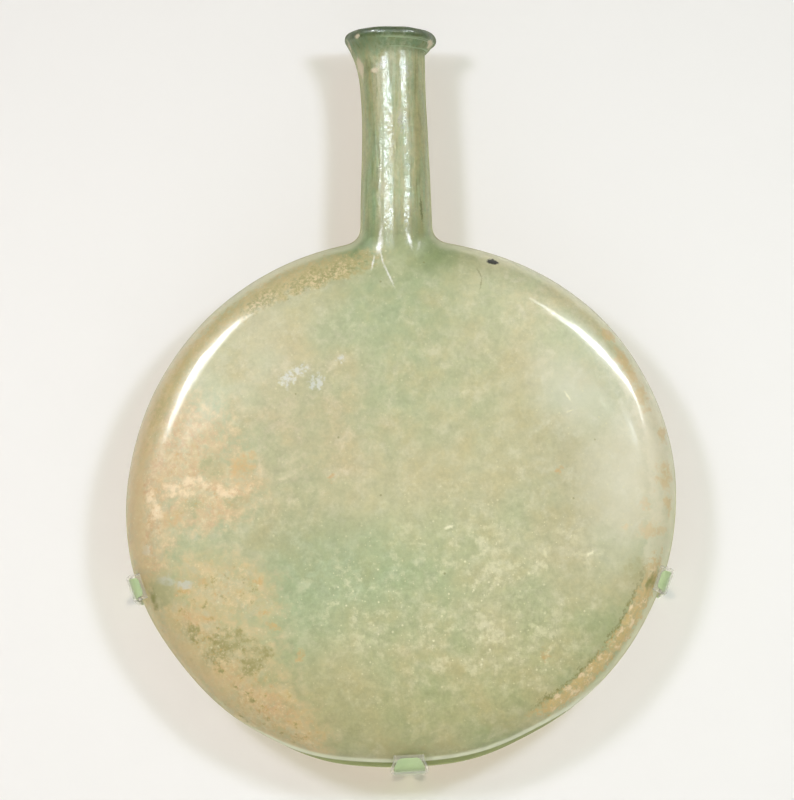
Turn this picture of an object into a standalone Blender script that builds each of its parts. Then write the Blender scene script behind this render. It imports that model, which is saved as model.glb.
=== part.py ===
"""Flat glass flask, blown as one hollow piece, held against a wall by three clips.

Each clip is a painted brass strip bent into a hook, with a clear plastic sleeve over
the part that touches the glass and a brass pin that goes into the wall.
Metres, +Z up. The wall is the plane Y = 0, and the flask hangs in front of it, at -Y.
The origin is the middle of the bottom hook's end, where that hook meets the wall.
"""

import math
from collections import namedtuple

import bmesh
import bpy
from mathutils import Vector

MM = 0.001

# Body of the flask: a flat disc with full, rounded edges
DISC_HALF_WIDTH = 91.6 * MM
DISC_HALF_HEIGHT = 88.25 * MM
DISC_HALF_DEPTH = 17.0 * MM
DISC_FULLNESS = 6.0  # 2 gives a lens, and a higher power a flatter face with a rounder edge
DISC_LEAN = 0.02  # sideways drift of the disc's middle for each unit of height
BODY_WALL = 2.2 * MM
WALL_TO_MIDDLE = 24.0 * MM  # from the wall to the flask's middle plane

# Neck: it leans to the left and narrows to a waist
NECK_BASE_RADIUS = 12.1 * MM
NECK_WAIST_RADIUS = 11.0 * MM
NECK_TOP_RADIUS = 11.6 * MM
NECK_WAIST_HEIGHT = 44.0 * MM  # above the top of the disc
NECK_OFFSET = -1.4 * MM
NECK_LEAN = -0.03
NECK_WALL = 2.4 * MM
SHOULDER_FILLET = 5.5 * MM
HANDLE_SHARE = 2 / 3  # how far the fillet's handles reach towards the sharp corner
TANGENT_SHARE = 0.01  # of the way to that corner, to find which way the disc runs

# Lip: a flare with a rolled bead, gentle on the left and folded under on the right
LIP_RADIUS = 15.5 * MM
LIP_HEIGHT = 68.4 * MM  # bead's middle above the top of the disc
LIP_BEAD_RADIUS = 1.2 * MM
FLARE_DEPTH_LEFT = 17.6 * MM
FLARE_DEPTH_RIGHT = 5.2 * MM
FLARE_POWER_LEFT = 1.85
FLARE_POWER_RIGHT = 0.64
MOUTH_DEPTH = 9.5 * MM

# Mesh density of the flask
COLUMNS = 48
DISC_ROWS = 24
INNER_DISC_ROWS = 18
FILLET_ROWS = 4
NECK_ROWS = 5
FLARE_ROWS = 5
BEAD_ROWS = 6
MOUTH_ROWS = 4
SOLVE_STEPS = 50
GLASS_SHARP_ANGLE = math.radians(60)
STRIP_SHARP_ANGLE = math.radians(40)
SLEEVE_SHARP_ANGLE = math.radians(50)
BEVEL_ANGLE = math.radians(50)

# Hooks, sleeves and pins
STRIP_THICKNESS = 0.9 * MM
STRIP_BEND_RADIUS = 1.5 * MM
STRIP_EDGE = 0.2 * MM
TIP_CORNER = 1.2 * MM
SLEEVE_WALL = 0.4 * MM
SLEEVE_FIT = 0.2 * MM  # sleeve to strip
SLEEVE_SIDE_ROOM = 0.15 * MM  # flat part of the sleeve beyond the strip's edge
SLEEVE_PAST_TIP = 1.0 * MM
SLEEVE_BEHIND_RIM = 9.0 * MM  # from the flask's middle plane towards the wall
GLASS_CLEARANCE = 0.25 * MM
PIN_RADIUS = 1.5 * MM
PIN_LAP = 9.0 * MM  # pin lying along the strip
PIN_IN_WALL = 12.0 * MM
PIN_FLAT = 0.4 * MM
PIN_CHAMFER = 0.4 * MM
PIN_FIT = 0.3 * MM
CUT_OVERRUN = 2.0 * MM

# Clips: where each is on the disc's edge, its strip, and the strip's reach over the glass
BOTTOM_ANGLE = math.radians(-87.1)  # from +X towards +Z
LEFT_ANGLE = math.radians(199.5)
RIGHT_ANGLE = math.radians(-17.8)
BOTTOM_WIDTH = 10.3 * MM
BOTTOM_TIP_WIDTH = 7.6 * MM
BOTTOM_OVERLAP = 2.9 * MM
SIDE_WIDTH = 6.8 * MM
SIDE_TIP_WIDTH = 6.2 * MM
SIDE_OVERLAP = 1.5 * MM

Clip = namedtuple("Clip", "name angle width tip_width overlap")
CLIPS = (
    Clip("bottom", BOTTOM_ANGLE, BOTTOM_WIDTH, BOTTOM_TIP_WIDTH, BOTTOM_OVERLAP),
    Clip("left", LEFT_ANGLE, SIDE_WIDTH, SIDE_TIP_WIDTH, SIDE_OVERLAP),
    Clip("right", RIGHT_ANGLE, SIDE_WIDTH, SIDE_TIP_WIDTH, SIDE_OVERLAP),
)

STRIP_ROWS = 6
BEND_ROWS = 6
TIP_ROWS = 4
STADIUM_ROWS = 5
PIN_SIDES = 24

Shell = namedtuple("Shell", "inset neck_inset disc_rows")
OUTSIDE = Shell(0.0, 0.0, DISC_ROWS)
INSIDE = Shell(BODY_WALL, NECK_WALL, INNER_DISC_ROWS)


def mix(first, second, share):
    return first + (second - first) * share


def smooth(share):
    share = min(max(share, 0.0), 1.0)
    return share * share * (3.0 - 2.0 * share)


def solve(value_at, low, high):
    """The place between low and high where value_at falls through zero."""
    for _ in range(SOLVE_STEPS):
        middle = (low + high) / 2
        if value_at(middle) > 0:
            low = middle
        else:
            high = middle
    return (low + high) / 2


def disc_edge(angle):
    """Point on the disc's outline, from the disc's centre."""
    height = DISC_HALF_HEIGHT * math.sin(angle)
    across = DISC_HALF_WIDTH * math.cos(angle) + DISC_LEAN * height
    return Vector((across, 0.0, height))


def disc_edge_outward(angle):
    """Unit vector square to the disc's outline, pointing away from the glass."""
    rise = DISC_HALF_HEIGHT * math.cos(angle)
    run = -DISC_HALF_WIDTH * math.sin(angle) + DISC_LEAN * rise
    return Vector((rise, 0.0, -run)).normalized()


def disc_depth(share):
    """Half depth of the disc as a share of its greatest, where share is 0 on the edge."""
    left = 1.0 - (1.0 - share * share) ** (DISC_FULLNESS / 2)
    return math.copysign(math.sqrt(max(left, 0.0)), share)


def depth_inside_edge(angle, inset):
    """Half depth of the glass at a distance inside the disc's outline."""
    reach = disc_edge(angle).length
    return DISC_HALF_DEPTH * math.sqrt(1.0 - (1.0 - inset / reach) ** DISC_FULLNESS)


def disc_point(shell, turn, rise):
    """Point on the disc. turn goes round it from +X, and rise goes from pole to pole."""
    height = (DISC_HALF_HEIGHT - shell.inset) * math.sin(rise)
    across = (DISC_HALF_WIDTH - shell.inset) * math.cos(rise) * math.cos(turn)
    deep = (DISC_HALF_DEPTH - shell.inset) * disc_depth(math.cos(rise) * math.sin(turn))
    return Vector((across + DISC_LEAN * height, deep, height))


def neck_middle(height):
    return NECK_OFFSET + NECK_LEAN * (height - DISC_HALF_HEIGHT)


def neck_radius(height):
    up = (height - DISC_HALF_HEIGHT) / NECK_WAIST_HEIGHT
    if up < 1.0:
        return mix(NECK_BASE_RADIUS, NECK_WAIST_RADIUS, smooth(up))
    above = height - DISC_HALF_HEIGHT - NECK_WAIST_HEIGHT
    return mix(NECK_WAIST_RADIUS, NECK_TOP_RADIUS, smooth(above / (LIP_HEIGHT - NECK_WAIST_HEIGHT)))


def round_point(radius, turn, height):
    """Point at a radius from the neck's leaning axis."""
    across = neck_middle(height) + radius * math.cos(turn)
    return Vector((across, radius * math.sin(turn), height))


def lip_bead_height():
    return DISC_HALF_HEIGHT + LIP_HEIGHT


def flare_foot(turn):
    """Height at which the outside of the neck starts to flare."""
    rightward = (1.0 + math.cos(turn)) / 2
    return lip_bead_height() - mix(FLARE_DEPTH_LEFT, FLARE_DEPTH_RIGHT, rightward)


def flare_points(turn):
    """The outside of the lip, from the foot of its flare to the widest part."""
    rightward = (1.0 + math.cos(turn)) / 2
    power = mix(FLARE_POWER_LEFT, FLARE_POWER_RIGHT, rightward)
    foot = flare_foot(turn)
    start = neck_radius(foot)
    points = []
    for row in range(FLARE_ROWS + 1):
        share = row / FLARE_ROWS
        radius = mix(start, LIP_RADIUS, share**power)
        points.append(round_point(radius, turn, mix(foot, lip_bead_height(), share)))
    return points


def bead_points(turn):
    """Over the rolled bead, from outside to inside."""
    points = []
    for row in range(1, BEAD_ROWS + 1):
        around = math.pi * row / BEAD_ROWS
        radius = LIP_RADIUS - LIP_BEAD_RADIUS * (1.0 - math.cos(around))
        height = lip_bead_height() + LIP_BEAD_RADIUS * math.sin(around)
        points.append(round_point(radius, turn, height))
    return points


def mouth_points(turn):
    """The funnel inside the lip, from the bead down to the bore."""
    bottom = lip_bead_height() - MOUTH_DEPTH
    bore = neck_radius(bottom) - NECK_WALL
    top = LIP_RADIUS - 2 * LIP_BEAD_RADIUS
    points = []
    for row in range(1, MOUTH_ROWS + 1):
        share = 1.0 - row / MOUTH_ROWS
        radius = mix(bore, top, share * share)
        points.append(round_point(radius, turn, mix(bottom, lip_bead_height(), share)))
    return points


def shoulder_points(shell, turn):
    """Where neck and disc meet: the fillet's start on the neck, its end's rise, and the fillet."""

    def beyond_neck(rise):
        point = disc_point(shell, turn, rise)
        radius = neck_radius(point.z) - shell.neck_inset
        return math.hypot(point.x - neck_middle(point.z), point.y) - radius

    meet_rise = solve(beyond_neck, 0.0, math.pi / 2)
    meet = disc_point(shell, turn, meet_rise)

    def short_of_fillet(rise):
        return (disc_point(shell, turn, rise) - meet).length - SHOULDER_FILLET

    end_rise = solve(short_of_fillet, 0.0, meet_rise)
    end = disc_point(shell, turn, end_rise)
    angle = math.atan2(meet.y, meet.x - neck_middle(meet.z))
    top = meet.z + SHOULDER_FILLET
    start = round_point(neck_radius(top) - shell.neck_inset, angle, top)
    along = disc_point(shell, turn, mix(end_rise, meet_rise, TANGENT_SHARE)) - end
    corner = end + along.normalized() * (meet - end).length
    upper = mix(start, meet, HANDLE_SHARE)
    lower = mix(end, corner, HANDLE_SHARE)
    points = []
    for row in range(FILLET_ROWS + 1):
        share = row / FILLET_ROWS
        left = 1.0 - share
        points.append(
            start * left**3
            + upper * (3 * left * left * share)
            + lower * (3 * left * share * share)
            + end * share**3
        )
    return angle, end_rise, points


def wall_column(shell, turn, top_height):
    """One line of points down a wall: neck, shoulder and disc, without the pole."""
    angle, end_rise, fillet = shoulder_points(shell, turn)
    turned = (turn - angle + math.pi) % (2 * math.pi) - math.pi
    points = []
    for row in range(1, NECK_ROWS):
        share = row / NECK_ROWS
        height = mix(top_height, fillet[0].z, share)
        around = angle + turned * (1.0 - smooth(share))
        points.append(round_point(neck_radius(height) - shell.neck_inset, around, height))
    points += fillet
    for row in range(1, shell.disc_rows):
        rise = mix(end_rise, -math.pi / 2, row / shell.disc_rows)
        points.append(disc_point(shell, turn, rise))
    return points


def flask_column(turn):
    """One line of points from the outside of the base, over the lip, to the inside."""
    outside = wall_column(OUTSIDE, turn, flare_foot(turn))
    inside = wall_column(INSIDE, turn, lip_bead_height() - MOUTH_DEPTH)
    lip = flare_points(turn) + bead_points(turn) + mouth_points(turn)
    return outside[::-1] + lip + inside


def close_loft(mesh, rings, cyclic):
    """Joins rings of bmesh vertices with quads, and the last to the first if cyclic."""
    pairs = list(zip(rings, rings[1:]))
    if cyclic:
        pairs.append((rings[-1], rings[0]))
    for lower, upper in pairs:
        for spot in range(len(lower)):
            after = (spot + 1) % len(lower)
            mesh.faces.new((lower[spot], lower[after], upper[after], upper[spot]))


def finish_mesh(shape, name, collection, material, sharp_angle):
    """Makes an object of a bmesh, smooth where faces meet at less than sharp_angle."""
    bmesh.ops.recalc_face_normals(shape, faces=shape.faces)
    data = bpy.data.meshes.new(name)
    shape.to_mesh(data)
    shape.free()
    data.shade_smooth()
    data.set_sharp_from_angle(angle=sharp_angle)
    data.materials.append(material)
    made = bpy.data.objects.new(name, data)
    collection.objects.link(made)
    return made


def make_material(name, colour, roughness, metallic=0.0, transmission=0.0, alpha=1.0):
    material = bpy.data.materials.new(name)
    material.use_nodes = True
    shader = material.node_tree.nodes["Principled BSDF"]
    shader.inputs["Base Color"].default_value = (*colour, 1.0)
    shader.inputs["Roughness"].default_value = roughness
    shader.inputs["Metallic"].default_value = metallic
    shader.inputs["Transmission Weight"].default_value = transmission
    shader.inputs["Alpha"].default_value = alpha
    material.diffuse_color = (*colour, alpha)
    return material


def make_flask(collection):
    """The vessel: a loft of unlike sections, from flat disc to round neck and back inside."""
    columns = [flask_column(2 * math.pi * number / COLUMNS) for number in range(COLUMNS)]
    shape = bmesh.new()
    rings = [[shape.verts.new(point) for point in row] for row in zip(*columns)]
    close_loft(shape, rings, False)
    for ring, shell in ((rings[0], OUTSIDE), (rings[-1], INSIDE)):
        pole = shape.verts.new(disc_point(shell, 0.0, -math.pi / 2))
        for spot in range(COLUMNS):
            shape.faces.new((ring[spot], ring[(spot + 1) % COLUMNS], pole))
    glass = make_material("glass", (0.52, 0.56, 0.36), 0.15, transmission=0.6, alpha=0.6)
    flask = finish_mesh(shape, "flask", collection, glass, GLASS_SHARP_ANGLE)
    flask.location = disc_centre()


def strip_to_rim():
    """From the middle of a strip to the edge of the glass, through the sleeve."""
    return STRIP_THICKNESS / 2 + SLEEVE_FIT + SLEEVE_WALL + GLASS_CLEARANCE


def clip_place(clip):
    """A hook's wall end, seen from the disc's centre, and its turn about Y."""
    outward = disc_edge_outward(clip.angle)
    place = disc_edge(clip.angle) + outward * strip_to_rim()
    place.y = WALL_TO_MIDDLE
    return place, math.atan2(-outward.x, -outward.z)


def disc_centre():
    """The disc's centre, which puts the bottom hook's wall end at the origin."""
    return -clip_place(CLIPS[0])[0]


def hook_reach(clip):
    """From the wall to the middle of the finger, which passes in front of the glass."""
    inset = clip.overlap + SLEEVE_PAST_TIP
    glass = depth_inside_edge(clip.angle, inset)
    return WALL_TO_MIDDLE + glass + strip_to_rim()


def hook_path(clip, start, past_tip, tip_rows):
    """(y, z, lean) along the strip's middle, from start behind the bend to past its tip."""
    bend = STRIP_BEND_RADIUS + STRIP_THICKNESS / 2
    reach = hook_reach(clip)
    tip = strip_to_rim() + clip.overlap + past_tip
    path = []
    for row in range(STRIP_ROWS):
        path.append((-mix(start, reach - bend, row / STRIP_ROWS), 0.0, 0.0))
    for row in range(BEND_ROWS + 1):
        lean = math.pi / 2 * row / BEND_ROWS
        ahead = reach - bend + bend * math.sin(lean)
        path.append((-ahead, bend * (1.0 - math.cos(lean)), lean))
    for row in range(1, tip_rows + 1):
        path.append((-reach, mix(bend, tip, row / tip_rows), math.pi / 2))
    return path


def strip_half_width(clip, height):
    """Half the strip's width at a height up the finger, tapering from the bend."""
    tip = strip_to_rim() + clip.overlap
    return mix(clip.width, clip.tip_width, smooth(height / tip)) / 2


def tip_rounding(clip, height):
    """How far the strip's edge is drawn in near its rounded tip."""
    left = strip_to_rim() + clip.overlap - height
    into = max(TIP_CORNER - left, 0.0)
    return TIP_CORNER - math.sqrt(max(TIP_CORNER**2 - into**2, 0.0))


def make_hook(clip, collection, holder, paint):
    """A strip of brass sheet, bent up in front of the glass."""
    path = hook_path(clip, 0.0, 0.0, TIP_ROWS)
    bpy.ops.mesh.primitive_grid_add(x_subdivisions=2, y_subdivisions=len(path) - 1, size=1.0)
    hook = bpy.context.active_object
    hook.name = clip.name + "_hook"
    for vertex in hook.data.vertices:
        side = round(2 * vertex.co.x)
        spot = round((vertex.co.y + 0.5) * (len(path) - 1))
        y, z, _ = path[spot]
        half = strip_half_width(clip, z) - tip_rounding(clip, z)
        vertex.co = (side * half, y, z)
    solid = hook.modifiers.new("thickness", "SOLIDIFY")
    solid.thickness = STRIP_THICKNESS
    solid.offset = 0.0
    edge = hook.modifiers.new("edges", "BEVEL")
    edge.width = STRIP_EDGE
    edge.segments = 2
    edge.limit_method = "ANGLE"
    edge.angle_limit = BEVEL_ANGLE
    hook.data.shade_smooth()
    hook.data.set_sharp_from_angle(angle=STRIP_SHARP_ANGLE)
    hook.data.materials.append(paint)
    move_to(hook, collection)
    hook.parent = holder


def stadium(half_flat, radius):
    """(across, through) round a flat-sided oval, starting at its right end."""
    points = []
    for side in (1, -1):
        for row in range(STADIUM_ROWS):
            around = math.pi * (row / (STADIUM_ROWS - 1) - 0.5)
            across = half_flat + radius * math.cos(around)
            points.append((side * across, side * radius * math.sin(around)))
    return points


def make_sleeve(clip, collection, holder, plastic):
    """A clear tube pressed flat over the hook, open at both ends."""
    start = WALL_TO_MIDDLE - SLEEVE_BEHIND_RIM
    path = hook_path(clip, start, SLEEVE_PAST_TIP, TIP_ROWS)
    bore = STRIP_THICKNESS / 2 + SLEEVE_FIT
    shape = bmesh.new()
    rings = []
    for radius in (bore + SLEEVE_WALL, bore):
        layer = []
        for y, z, lean in path:
            ring = []
            half_flat = strip_half_width(clip, z) + SLEEVE_SIDE_ROOM
            for across, through in stadium(half_flat, radius):
                place = (across, y + through * math.sin(lean), z + through * math.cos(lean))
                ring.append(shape.verts.new(place))
            layer.append(ring)
        rings.append(layer)
    close_loft(shape, rings[0] + rings[1][::-1], True)
    sleeve = finish_mesh(
        shape, clip.name + "_sleeve", collection, plastic, SLEEVE_SHARP_ANGLE
    )
    sleeve.parent = holder


def make_pin(clip, collection, cutters, holder, brass):
    """A round pin laid along the strip and into the wall, with a flat on its seat."""
    length = PIN_LAP + PIN_IN_WALL
    seat = STRIP_THICKNESS / 2 + PIN_FIT
    middle = seat + PIN_RADIUS - PIN_FLAT
    bpy.ops.mesh.primitive_cylinder_add(
        vertices=PIN_SIDES,
        radius=PIN_RADIUS,
        depth=length,
        location=(0.0, PIN_IN_WALL - length / 2, middle),
        rotation=(math.pi / 2, 0.0, 0.0),
    )
    pin = bpy.context.active_object
    pin.name = clip.name + "_pin"
    edge = pin.modifiers.new("chamfers", "BEVEL")
    edge.width = PIN_CHAMFER
    edge.segments = 1
    edge.limit_method = "ANGLE"
    edge.angle_limit = BEVEL_ANGLE
    bpy.ops.mesh.primitive_cube_add(size=1.0)
    cutter = bpy.context.active_object
    cutter.name = clip.name + "_pin_flat_cutter"
    cutter.scale = (2 * PIN_RADIUS + CUT_OVERRUN, PIN_LAP + CUT_OVERRUN, CUT_OVERRUN)
    cutter.location = (0.0, -(PIN_LAP + CUT_OVERRUN) / 2, seat - CUT_OVERRUN / 2)
    cutter.hide_render = True
    cutter.display_type = "WIRE"
    flat = pin.modifiers.new("flat", "BOOLEAN")
    flat.operation = "DIFFERENCE"
    flat.object = cutter
    pin.data.shade_smooth()
    pin.data.set_sharp_from_angle(angle=STRIP_SHARP_ANGLE)
    pin.data.materials.append(brass)
    move_to(pin, collection)
    move_to(cutter, cutters)
    pin.parent = holder
    cutter.parent = holder


def move_to(item, collection):
    for other in list(item.users_collection):
        other.objects.unlink(item)
    collection.objects.link(item)


def make_collection(name):
    collection = bpy.data.collections.new(name)
    bpy.context.scene.collection.children.link(collection)
    return collection


def main():
    for item in list(bpy.data.objects):
        bpy.data.objects.remove(item, do_unlink=True)
    collection = make_collection("flat_flask")
    cutters = make_collection("cutters")
    make_flask(collection)
    for clip in CLIPS:
        place, turn = clip_place(clip)
        holder = bpy.data.objects.new(clip.name + "_clip", None)
        collection.objects.link(holder)
        holder.location = disc_centre() + place
        holder.rotation_euler = (0.0, turn, 0.0)
        paint = make_material(clip.name + "_paint", (0.41, 0.52, 0.25), 0.45)
        plastic = make_material(clip.name + "_plastic", (0.85, 0.84, 0.75), 0.2, alpha=0.4)
        brass = make_material(clip.name + "_brass", (0.55, 0.40, 0.15), 0.35, metallic=1.0)
        make_hook(clip, collection, holder, paint)
        make_sleeve(clip, collection, holder, plastic)
        make_pin(clip, collection, cutters, holder, brass)


main()
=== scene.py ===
"""Looks of the flat glass flask and its three wall clips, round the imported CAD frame.

The flask is lofted again, finer than in the CAD and with the unevenness of hand-blown
glass. Everything here is in millimetres until a mesh is made, and the flask's own
coordinates start at the middle of its disc.
"""

import math

import bmesh
import bpy
from mathutils import Matrix, Vector, noise
from mathutils.bvhtree import BVHTree


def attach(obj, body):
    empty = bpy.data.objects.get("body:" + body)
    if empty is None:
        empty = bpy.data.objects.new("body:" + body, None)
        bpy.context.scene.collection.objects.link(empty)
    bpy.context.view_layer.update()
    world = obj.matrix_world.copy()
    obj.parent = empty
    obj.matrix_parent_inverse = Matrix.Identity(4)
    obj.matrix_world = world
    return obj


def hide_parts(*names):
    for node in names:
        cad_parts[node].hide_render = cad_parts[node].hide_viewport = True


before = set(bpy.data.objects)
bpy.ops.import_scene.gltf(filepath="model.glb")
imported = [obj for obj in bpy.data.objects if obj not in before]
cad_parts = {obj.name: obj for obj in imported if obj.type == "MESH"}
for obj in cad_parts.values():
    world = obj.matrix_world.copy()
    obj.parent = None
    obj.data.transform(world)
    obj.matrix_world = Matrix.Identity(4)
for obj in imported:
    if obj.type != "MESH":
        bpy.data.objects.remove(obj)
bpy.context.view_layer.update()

MM = 0.001
PICTURE_WIDTH = 794
PICTURE_HEIGHT = 800

# Camera: below the flask's middle and looking slightly up
CAMERA_DISTANCE = 1200.0
CAMERA_RISE = math.radians(7.0)
PIXELS_PER_MM = 3.0
DISC_CENTRE = Vector((-2.935, -24.0, 89.435))
TARGET = DISC_CENTRE + Vector((-1.2, 0.0, 33.75))
LOOK = Vector((0.0, math.cos(CAMERA_RISE), math.sin(CAMERA_RISE)))
PICTURE_UP = Vector((0.0, -math.sin(CAMERA_RISE), math.cos(CAMERA_RISE)))
EYE = TARGET - LOOK * CAMERA_DISTANCE - DISC_CENTRE  # from the disc's centre
SENSOR = 36.0
NEAREST_SEEN = 50.0
FARTHEST_SEEN = 50000.0


def picture_place(across, down, depth):
    """(x, z) from the disc's centre of a picture point, on the plane y = depth."""
    ray = LOOK * CAMERA_DISTANCE
    ray += Vector((1.0, 0.0, 0.0)) * ((across - PICTURE_WIDTH / 2) / PIXELS_PER_MM)
    ray += PICTURE_UP * ((PICTURE_HEIGHT / 2 - down) / PIXELS_PER_MM)
    place = EYE + ray * ((depth - EYE.y) / ray.y)
    return place.x, place.z


# Shader nodes


class Tree:
    """Makes shader nodes in a material. Each call gives the new node's output."""

    def __init__(self, name):
        self.material = bpy.data.materials.new(name)
        self.material.use_nodes = True
        self.nodes = self.material.node_tree.nodes
        self.links = self.material.node_tree.links
        self.nodes.clear()
        self.end = self.nodes.new("ShaderNodeOutputMaterial")

    def feed(self, socket, value):
        if isinstance(value, bpy.types.NodeSocket):
            self.links.new(value, socket)
        elif isinstance(value, (tuple, list)) and socket.type == "RGBA":
            socket.default_value = (*value[:3], 1.0)
        else:
            socket.default_value = value

    def node(self, kind, inputs=None, **settings):
        made = self.nodes.new("ShaderNode" + kind)
        for name, value in settings.items():
            setattr(made, name, value)
        for name, value in (inputs or {}).items():
            self.feed(made.inputs[name], value)
        return made

    def math(self, operation, first, second=0.0, third=0.0):
        inputs = {0: first, 1: second, 2: third}
        return self.node("Math", inputs, operation=operation).outputs[0]

    def times(self, first, second):
        return self.math("MULTIPLY", first, second)

    def most(self, *values):
        top = values[0]
        for value in values[1:]:
            top = self.math("MAXIMUM", top, value)
        return top

    def invert(self, value):
        return self.math("SUBTRACT", 1.0, value)

    def vector(self, operation, first, second=(0.0, 0.0, 0.0), scale=1.0):
        made = self.node("VectorMath", operation=operation)
        self.feed(made.inputs[0], first)
        self.feed(made.inputs[1], second)
        self.feed(made.inputs[3], scale)
        return made.outputs[int(operation in ("LENGTH", "DOT_PRODUCT"))]

    def band(self, value, low, high, out_low=0.0, out_high=1.0):
        """Rises smoothly from out_low to out_high as value goes from low to high."""
        inputs = {0: value, 1: low, 2: high, 3: out_low, 4: out_high}
        return self.node("MapRange", inputs, interpolation_type="SMOOTHSTEP").outputs[0]

    def colours(self, share, first, second, kind="MIX"):
        made = self.node("Mix", data_type="RGBA", blend_type=kind, clamp_factor=True)
        self.feed(made.inputs[0], share)
        self.feed(made.inputs[6], first)
        self.feed(made.inputs[7], second)
        return made.outputs[2]

    def numbers(self, share, first, second):
        made = self.node("Mix", data_type="FLOAT", clamp_factor=True)
        self.feed(made.inputs[0], share)
        self.feed(made.inputs[2], first)
        self.feed(made.inputs[3], second)
        return made.outputs[0]

    def noise(self, place, size, detail, rough, colour=False):
        """Cloudy pattern with patches about size millimetres wide."""
        inputs = {"Vector": place, "Scale": 1.0 / size, "Detail": detail, "Roughness": rough}
        made = self.node("TexNoise", inputs)
        return made.outputs["Color" if colour else "Fac"]

    def facing_away(self):
        """0 where the surface faces the eye, rising to 1 at its outline."""
        return self.node("LayerWeight", {"Blend": 0.5}).outputs["Facing"]

    def place(self):
        """Place on the piece in millimetres, from its own origin."""
        coordinates = self.node("TexCoord").outputs["Object"]
        return self.vector("SCALE", coordinates, scale=1.0 / MM)

    def oval(self, place, x, z, wide, tall, turn=0.0):
        """How far place is from (x, z), as a share of the way to an oval's edge.

        It is made of dot products, since a mapping node for each oval needs more memory
        than a shader has.
        """
        away = self.vector("SUBTRACT", place, (x, 0.0, z))
        along = Vector((math.cos(turn), 0.0, -math.sin(turn))) / wide
        across = Vector((math.sin(turn), 0.0, math.cos(turn))) / tall
        first = self.vector("DOT_PRODUCT", away, along)
        second = self.vector("DOT_PRODUCT", away, across)
        return self.math("SQRT", self.math("MULTIPLY_ADD", second, second, self.times(first, first)))

    def surface(self, shader):
        self.links.new(shader.outputs[0], self.end.inputs["Surface"])

    def see_through(self, shader, colour, least=0.0):
        """Shows shader, but lets shadow and diffuse rays straight through in a colour.

        Of all other rays the share least goes straight through too.
        """
        path = self.node("LightPath").outputs
        straight = self.math("MAXIMUM", path["Is Shadow Ray"], path["Is Diffuse Ray"])
        straight = self.math("MAXIMUM", straight, least)
        through = self.node("BsdfTransparent", {"Color": colour})
        both = {0: straight, 1: shader.outputs[0], 2: through.outputs[0]}
        self.surface(self.node("MixShader", both))


# The flask's shape

DISC_HALF = Vector((91.6, 17.0, 88.25))
DISC_FULLNESS = 6.0
DISC_LEAN = 0.02
BODY_WALL = 2.2
NECK_BASE_RADIUS = 12.1
NECK_WAIST_RADIUS = 11.0
NECK_TOP_RADIUS = 11.6
NECK_WAIST_HEIGHT = 44.0
NECK_OFFSET = -1.4
NECK_LEAN = -0.03
NECK_WALL = 2.4
SHOULDER_FILLET = 5.5
HANDLE_SHARE = 2 / 3  # how far the fillet's handles reach towards the sharp corner
TANGENT_SHARE = 0.01  # of the way to that corner, to find which way the disc runs
LIP_RADIUS = 15.5
LIP_HEIGHT = 68.4
LIP_BEAD_RADIUS = 1.2
LIP_ROLL_RADIUS = 2.0
LIP_ROLL_START = (math.radians(28.0), math.radians(72.0))  # below the widest, left and right
NECK_BOW = 0.6
FLARE_DEPTH = (17.6, 5.4)
FLARE_POWER = (2.2, 0.75)  # how the flare widens toward the lip, left and right
MOUTH_DEPTH = 9.5
BEAD_Z = DISC_HALF.z + LIP_HEIGHT

# Where the disc departs from an even oval: direction in degrees, reach and amount
OUTLINE_SWELLS = (
    (72.0, 26.0, -0.7),
    (157.0, 24.0, -0.5),
    (174.0, 20.0, -0.5),
    (-143.0, 17.0, -0.6),
    (-42.0, 20.0, 0.25),
    (-72.0, 13.0, 0.6),
    (-105.0, 14.0, 0.7),
)
DISC_SINK = 0.12  # keeps the uneven glass inside the even shape
NECK_SINK = 0.07

# Ripples of hand-blown glass: size across, size along the height and how far they stand out
BROAD_RIPPLE = (30.0, 30.0, 0.16)
SMALL_RIPPLE = (11.0, 11.0, 0.035)
DRAWN_RIPPLE = (5.0, 26.0, 0.13)
STREAK_RIPPLE = (2.2, 11.0, 0.035)
NECK_RIPPLE_START = 84.0
NECK_RIPPLE_BLEND = 8.0
OUTSIDE_SEED = 7.0
INSIDE_SEED = 27.0

COLUMNS = 224
DISC_ROWS = 110
INNER_DISC_ROWS = 80
FILLET_ROWS = 12
NECK_ROWS = 60
FLARE_ROWS = 20
BEAD_ROWS = 18
MOUTH_ROWS = 12
SOLVE_STEPS = 40


def mix(first, second, share):
    return first + (second - first) * share


def smooth(share):
    share = min(max(share, 0.0), 1.0)
    return share * share * (3.0 - 2.0 * share)


def solve(value_at, low, high):
    """The place between low and high where value_at falls through zero."""
    for _ in range(SOLVE_STEPS):
        middle = (low + high) / 2
        if value_at(middle) > 0:
            low = middle
        else:
            high = middle
    return (low + high) / 2


def disc_depth(share):
    left = 1.0 - (1.0 - share * share) ** (DISC_FULLNESS / 2)
    return math.copysign(math.sqrt(max(left, 0.0)), share)


def outline_swell(across, height):
    """How much larger the real disc is than the even one, as a share, in this direction."""
    angle = math.degrees(math.atan2(height, across))
    swell = 0.0
    for middle, reach, amount in OUTLINE_SWELLS:
        away = abs((angle - middle + 180.0) % 360.0 - 180.0)
        swell += amount * (1.0 - smooth(away / reach))
    return swell / DISC_HALF.x


def disc_point(inset, turn, rise):
    height = (DISC_HALF.z - inset) * math.sin(rise)
    across = (DISC_HALF.x - inset) * math.cos(rise) * math.cos(turn)
    deep = (DISC_HALF.y - inset) * disc_depth(math.cos(rise) * math.sin(turn))
    larger = 1.0 + outline_swell(across, height)
    height *= larger
    return Vector((across * larger + DISC_LEAN * height, deep, height))


def neck_middle(height):
    up = min(max((height - DISC_HALF.z) / LIP_HEIGHT, 0.0), 1.0)
    return NECK_OFFSET + NECK_LEAN * (height - DISC_HALF.z) + NECK_BOW * math.sin(math.pi * up) ** 2


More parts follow.
